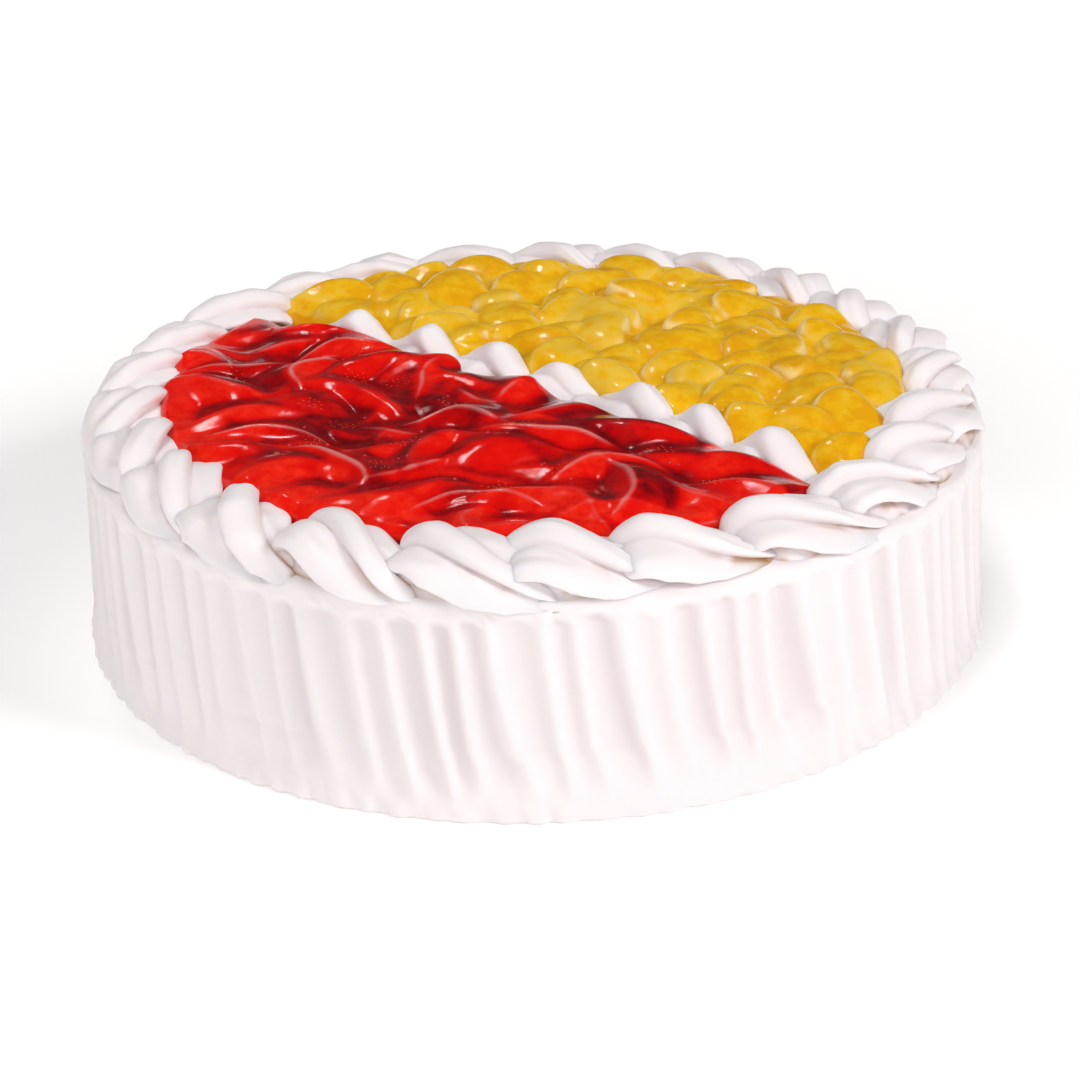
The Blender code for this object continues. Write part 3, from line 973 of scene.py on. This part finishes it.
def ridge_strength(mesh, height):
    """How sharply the surface stands above its neighbours: 1 on the crest of a thin ridge."""
    edges = edge_ends(mesh)
    # Thin ridges get painted highlight lines, and broad swells a faint painted sheen.
    above = np.maximum(height - evened(edges, height, 3), 0.0)
    swell = height - evened(edges, height, 16)
    line = smooth_step(0.015, 0.075, evened(edges, above, 2))
    return np.maximum(line, 0.22 * smooth_step(0.1, 0.35, swell))


class CAKE_OT_add_strawberry_topping(bpy.types.Operator):
    """Spoon glazed strawberry pieces over the front left half"""

    bl_idname = "cake.add_strawberry_topping"
    bl_label = "Strawberry topping"

    def execute(self, context):
        piece = heap_sheet("glazed_strawberries", 1.0)
        finish_heap(
            piece, 1.0, self.heights, strawberry_gel(), "strawberry_topping")
        return {"FINISHED"}

    @staticmethod
    def heights(x, y):
        """The gel's surface in millimetres; its depth, tone and painted rim highlights, 0 to 1.

        The gel hangs like a sheet over the fruit's edges: thin crests with wide hollows between.
        Fruit glows through it in patches, and it is darkest in pools away from the rim. Its depth
        also holds painted light on the fronts of the pieces and painted shade on their backs.
        """
        draw = random.Random(SEED * 7 + 1)
        bent_x = x + 1.5 * np.sin(y / 7.0 + 1.0) + 0.5 * np.sin(y / 3.1)
        bent_y = y + 1.5 * np.sin(x / 6.0 + 2.0) + 0.5 * np.sin(x / 2.7)
        edge = smooth_step(18.0, 4.0, heap_rooms(x, y, 1.0)[0])
        gel = GEL_LEVEL + 0.9 * np.sin(x / 13.0 + 0.5) * np.cos(y / 11.0)
        gel += RED_EDGE_RISE * edge
        surface, shades, weights = gel.copy(), np.full_like(x, 0.7), np.ones_like(x)
        for centre_x, centre_y in scatter(1.0, *RED_PIECES, draw):
            turn = draw.choice((-0.8, 0.0, 0.0, 0.8)) + draw.uniform(-0.6, 0.6)
            long_half, wide_half = draw.uniform(9.0, 14.5), draw.uniform(9.0, 12.5)
            top = draw.uniform(*RED_TOPS)
            gentle, steep = draw.uniform(0.08, 0.32), draw.uniform(0.35, 0.8)
            bend, crest = draw.uniform(0.0, 0.045), draw.choice((0.4, 0.7, 3.0))
            along, beside = along_and_beside(turn, bent_x - centre_x, bent_y - centre_y)
            beside = beside + bend * along ** 2 + 2.0
            near = np.hypot(along / long_half, beside / wide_half)
            height = top - smooth_maximum(gentle * beside, -steep * beside, crest)
            height -= 1.8 * near ** 2.5
            weight = np.exp((height - GEL_LEVEL) / 0.9)
            # Painted light and shade: each piece's front face is painted lighter, its back face
            # darker.
            painted_lit_face, painted_shaded_face = draw.uniform(0.0, 0.5), draw.uniform(0.6, 1.2)
            shade = painted_lit_face + (painted_shaded_face - painted_lit_face) * smooth_step(-1.0, 3.5, beside)
            shades, weights = shades + weight * shade, weights + weight
            surface = smooth_maximum(surface, height, RED_SAG)
        glow = patches(bent_x, bent_y, *RED_GLOWS, draw)
        pools = patches(bent_x, bent_y, *RED_POOLS, draw)
        low = smooth_step(64.4, 61.6, surface - RED_EDGE_RISE * edge)
        depth = shades / weights + 0.24 - 0.5 * glow - 0.5 * edge
        depth += (0.32 * low + 0.28 * pools) * (1.0 - edge)
        depth = np.clip(0.42 + 1.35 * (depth - 0.5), 0.0, 1.0)
        return surface, depth, glow, 0.0 * x


def strew(name, pips, detail):
    """Copy a small rounded pip to each place, with its length, width, height and turn, and join."""
    deselect_all()
    bpy.ops.mesh.primitive_ico_sphere_add(subdivisions=detail, radius=MM, location=(0.0, 0.0, 0.0))
    blank = bpy.context.active_object
    shape = coordinates(blank.data)
    copies = []
    for place, length, width, height, turn in pips:
        x, y = along_and_beside(-turn, shape[:, 0] * length, shape[:, 1] * width)
        points = np.column_stack((x, y, shape[:, 2] * height)) + np.array(place) * MM
        copies.append(shaped_copy(blank, points))
    return join_copies(blank, copies, name)


class CAKE_OT_add_seeds(bpy.types.Operator):
    """Strew the seeds that show on strawberry pieces, and the small bubbles in the gel"""

    bl_idname = "cake.add_seeds"
    bl_label = "Seeds and bubbles"

    def execute(self, context):
        draw = random.Random(SEED * 17)
        seeds, bubbles = [], []
        for centre in scatter(1.0, 27.0, 10.0, draw):
            turn = draw.uniform(0.0, math.tau)
            for column in range(-3, 4):
                for row in range(-2, 3):
                    x = SEED_STEP[0] * (column + 0.5 * (row % 2)) + draw.uniform(-0.5, 0.5)
                    y = SEED_STEP[1] * row + draw.uniform(-0.5, 0.5)
                    apart = (x / SEED_CLUSTER[0]) ** 2 + (y / SEED_CLUSTER[1]) ** 2
                    if apart < draw.uniform(0.2, 1.0):
                        seeds.append((centre, turn, x, y, draw.uniform(0.26, 0.38), 0.2))
            for _ in range(2):
                size = draw.uniform(0.3, 0.6)
                place = [draw.uniform(-BUBBLE_REACH, BUBBLE_REACH) for _ in range(2)]
                bubbles.append((centre, turn, *place, size, size))
        self.strew_on(seeds, "strawberry_seeds", strawberry_seed(), 0.35, 1)
        self.strew_on(bubbles, "gel_bubbles", bpy.data.materials["strawberry_gel"], 0.7, 2)
        return {"FINISHED"}

    @staticmethod
    def strew_on(groups, name, material, tall, detail):
        """Lay pips half sunk in the gel; each comes as its group's centre and turn, then its own."""
        table = []
        for centre, turn, x, y, length, width in groups:
            place = np.add(centre, along_and_beside(-turn, x, y))
            if min(heap_rooms(*place, 1.0)) > SEED_ROOM:
                table.append((*place, length, width, turn))
        places = np.array(table)
        surface = CAKE_OT_add_strawberry_topping.heights(places[:, 0], places[:, 1])[0]
        pips = []
        for (x, y, length, width, turn), level in zip(table, surface):
            pips.append(((x, y, level - 0.1 * width), length, width, tall * width, turn))
        piece = strew(name, pips, detail)
        finish_piece(piece, material, "strawberry_topping")


class CAKE_OT_add_peach_topping(bpy.types.Operator):
    """Spoon glazed yellow fruit slices over the back right half"""

    bl_idname = "cake.add_peach_topping"
    bl_label = "Yellow fruit topping"

    def execute(self, context):
        piece = heap_sheet("glazed_peaches", -1.0)
        finish_heap(piece, -1.0, self.heights, peach_gel(), "peach_topping")
        return {"FINISHED"}

    @staticmethod
    def heights(x, y):
        """The glaze's surface in millimetres; its depth, tone and painted rim highlights, 0 to 1."""
        draw = random.Random(SEED * 13)
        gel = GEL_LEVEL + 0.5 * np.sin(x / 12.0) * np.cos(y / 9.0)
        surface, fruit = gel.copy(), gel - 3.0
        shades, weights = np.full_like(x, 0.4), np.ones_like(x)
        rim_highlights = np.zeros_like(x)
        bent_x = x + 0.9 * np.sin(y / 5.0 + 1.0) + 0.35 * np.sin(y / 2.3)
        bent_y = y + 0.9 * np.sin(x / 5.5 + 2.0) + 0.35 * np.sin(x / 2.6)
        for spacing, scale, level in YELLOW_LAYERS:
            for centre_x, centre_y in scatter(-1.0, spacing, 4.0, draw):
                turn = draw.uniform(0.0, math.tau)
                long_half = scale * draw.uniform(10.5, 15.5)
                wide_half = scale * draw.uniform(8.5, 12.0)
                thick, plump = draw.uniform(3.2, 5.2), draw.uniform(1.0, 2.0)
                middle = level + draw.uniform(-2.2, 0.8)
                slope, lean = draw.uniform(-0.3, 0.3), draw.uniform(-0.1, 0.45)
                bend, shade = draw.uniform(-0.03, 0.03), draw.random()
                dx, dy = bent_x - centre_x, bent_y - centre_y
                along, beside = along_and_beside(turn, dx, dy)
                beside += bend * along ** 2
                near = (along / long_half) ** 2 + (beside / wide_half) ** 2
                bow = np.sqrt(np.maximum(1.0 - near ** plump, 0.0))
                height = middle + thick * bow + slope * dx + lean * dy
                height -= 5.0 * np.maximum(near - 1.0, 0.0)
                # Painted highlight: a pale line just inside the far rim of each slice.
                line = draw.uniform(0.1, 0.7) * np.exp(-((near - 0.8) / 0.04) ** 2)
                behind = smooth_step(-0.3, 0.5, dy / np.hypot(dx, dy))
                rim_highlights = np.where(height > fruit, line * behind, rim_highlights)
                weight = np.exp((height - GEL_LEVEL) / 0.7)
                shades, weights = shades + weight * shade, weights + weight
                fruit = np.maximum(fruit, height)
                surface = smooth_maximum(surface, height, 1.0)
        surface = YELLOW_TOP - smooth_maximum(YELLOW_TOP - surface, 0.0 * x, 1.5)
        return surface, smooth_step(0.1, 1.6, surface - fruit), shades / weights, rim_highlights


class CAKE_OT_add_stage(bpy.types.Operator):
    """Set the pale floor, the soft studio lights and the photograph's camera"""

    bl_idname = "cake.add_stage"
    bl_label = "Stage"

    def execute(self, context):
        scene = context.scene
        deselect_all()
        bpy.ops.mesh.primitive_plane_add(size=FLOOR_SIZE, location=(0.0, 0.0, -FLOOR_DROP))
        floor = context.active_object
        floor.name = "floor"
        floor.data.materials.append(matt_paper_sweep())
        world = bpy.data.worlds.new("studio")
        world.use_nodes = True
        scene.world = world
        self.light_dome(world.node_tree)
        for light in LIGHTS:
            self.add_light(*light)
        self.add_camera(scene)
        scene.view_settings.view_transform = "Standard"
        return {"FINISHED"}

    @staticmethod
    def light_dome(tree):
        """Soft light from above the camera that dims towards the back of the studio."""
        background = tree.nodes["Background"]
        background.inputs["Color"].default_value = (1.0, 0.985, 0.985, 1.0)
        place = add_node(tree, "ShaderNodeTexCoord")
        facing = add_node(tree, "ShaderNodeVectorMath", {"operation": "DOT_PRODUCT"}, {
            0: (place, "Generated"), 1: DOME_DIRECTION,
        })
        rise = add_node(tree, "ShaderNodeMapRange", {"interpolation_type": "SMOOTHSTEP"}, {
            "Value": (facing, "Value"), "From Min": -0.1, "From Max": 0.9, "To Min": DOME_LOW,
            "To Max": DOME_HIGH,
        })
        tree.links.new(rise.outputs["Result"], background.inputs["Strength"])

    @staticmethod
    def add_light(name, place, size, power, mirrored):
        """A square light that faces the middle of the cake's top, mirrored in gloss or not."""
        light = bpy.data.lights.new(name, "AREA")
        light.size = size
        light.energy = power
        lamp = bpy.data.objects.new(name, light)
        lamp.location = place
        aim = Vector((0.0, 0.0, WALL_HEIGHT)) - lamp.location
        lamp.rotation_mode = "QUATERNION"
        lamp.rotation_quaternion = aim.to_track_quat("-Z", "Y")
        lamp.visible_glossy = mirrored
        bpy.context.scene.collection.objects.link(lamp)

    @staticmethod
    def add_camera(scene):
        """The camera where the photograph was taken."""
        lens = bpy.data.cameras.new("camera")
        lens.lens = CAMERA_LENS
        lens.clip_start = 0.01
        camera = bpy.data.objects.new("camera", lens)
        camera.location = (
            0.0,
            -CAMERA_DISTANCE * math.cos(CAMERA_ELEVATION),
            CAMERA_DISTANCE * math.sin(CAMERA_ELEVATION),
        )
        aim = (CAMERA_TARGET - camera.location).to_track_quat("-Z", "Y").to_matrix()
        turned = aim @ Matrix.Rotation(-CAMERA_ROLL, 3, "Z")
        camera.rotation_mode = "QUATERNION"
        camera.rotation_quaternion = turned.to_quaternion()
        scene.collection.objects.link(camera)
        scene.camera = camera


class CAKE_PT_panel(bpy.types.Panel):
    """Buttons for each part of the cake"""

    bl_label = "Tres leches cake"
    bl_idname = "CAKE_PT_panel"
    bl_space_type = "VIEW_3D"
    bl_region_type = "UI"
    bl_category = "Cake"

    def draw(self, context):
        for operator in OPERATORS:
            self.layout.operator(operator.bl_idname)
        for group in (context.scene.cake_sizes, context.scene.cake_colours):
            for name in group.bl_rna.properties.keys():
                if name not in ("rna_type", "name"):
                    self.layout.prop(group, name)


OPERATORS = (
    CAKE_OT_add_stage,
    CAKE_OT_add_frosting,
    CAKE_OT_add_rim_shells,
    CAKE_OT_add_row_shells,
    CAKE_OT_add_strawberry_topping,
    CAKE_OT_add_seeds,
    CAKE_OT_add_peach_topping,
)
CLASSES = (CakeSizes, CakeColours, *OPERATORS, CAKE_PT_panel)


def register():
    for cls in CLASSES:
        bpy.utils.register_class(cls)
    bpy.types.Scene.cake_sizes = PointerProperty(type=CakeSizes)
    bpy.types.Scene.cake_colours = PointerProperty(type=CakeColours)


def unregister():
    del bpy.types.Scene.cake_colours
    del bpy.types.Scene.cake_sizes
    for cls in reversed(CLASSES):
        bpy.utils.unregister_class(cls)


def main():
    register()
    bpy.ops.cake.add_stage()
    bpy.ops.cake.add_frosting()
    bpy.ops.cake.add_rim_shells()
    bpy.ops.cake.add_row_shells()
    bpy.ops.cake.add_strawberry_topping()
    bpy.ops.cake.add_seeds()
    bpy.ops.cake.add_peach_topping()


if __name__ == "__main__":
    main()
